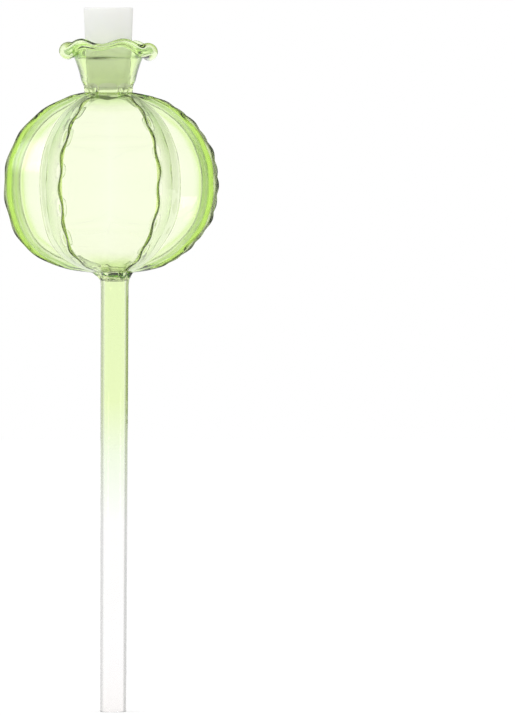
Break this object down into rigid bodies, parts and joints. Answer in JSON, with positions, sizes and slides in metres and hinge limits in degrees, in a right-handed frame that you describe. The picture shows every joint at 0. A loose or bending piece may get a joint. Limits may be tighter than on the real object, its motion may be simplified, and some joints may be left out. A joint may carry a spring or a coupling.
{
  "type": "watering globe",
  "caption": "Ribbed blown-glass watering globe on a hollow feed stem that stands in potting soil, with a ruffled filling neck closed by a pull-out silicone stopper.",
  "frame": {"origin": "centre of the feed stem's open tip, the lowest point", "axes": "+Z along the stem up through the globe and the neck, -Y out through the wide front panel"},
  "size_m": [0.0866, 0.0846, 0.2822],
  "materials": {
    "globe_glass": "clear green blown glass, fire-polished",
    "stem_glass": "drawn glass tube, green at the globe and clear at the tip",
    "silicone": "soft translucent white silicone, satin"
  },
  "bodies": {
    "glass_body": {"stem_tube": "stem_glass", "ribbed_globe": "globe_glass", "ruffled_neck": "globe_glass", "rib_thread_1": "globe_glass", "rib_thread_2": "globe_glass", "rib_thread_3": "globe_glass", "rib_thread_4": "globe_glass", "rib_thread_5": "globe_glass", "rib_thread_6": "globe_glass", "rib_thread_7": "globe_glass", "rib_thread_8": "globe_glass"},
    "stopper": {"stopper": "silicone"}
  },
  "joints": [
    {"name": "stopper_pull", "type": "slide", "parent": "glass_body", "child": "stopper", "axis": [0, 0, 1], "range_m": [0, 0.035]}
  ]
}
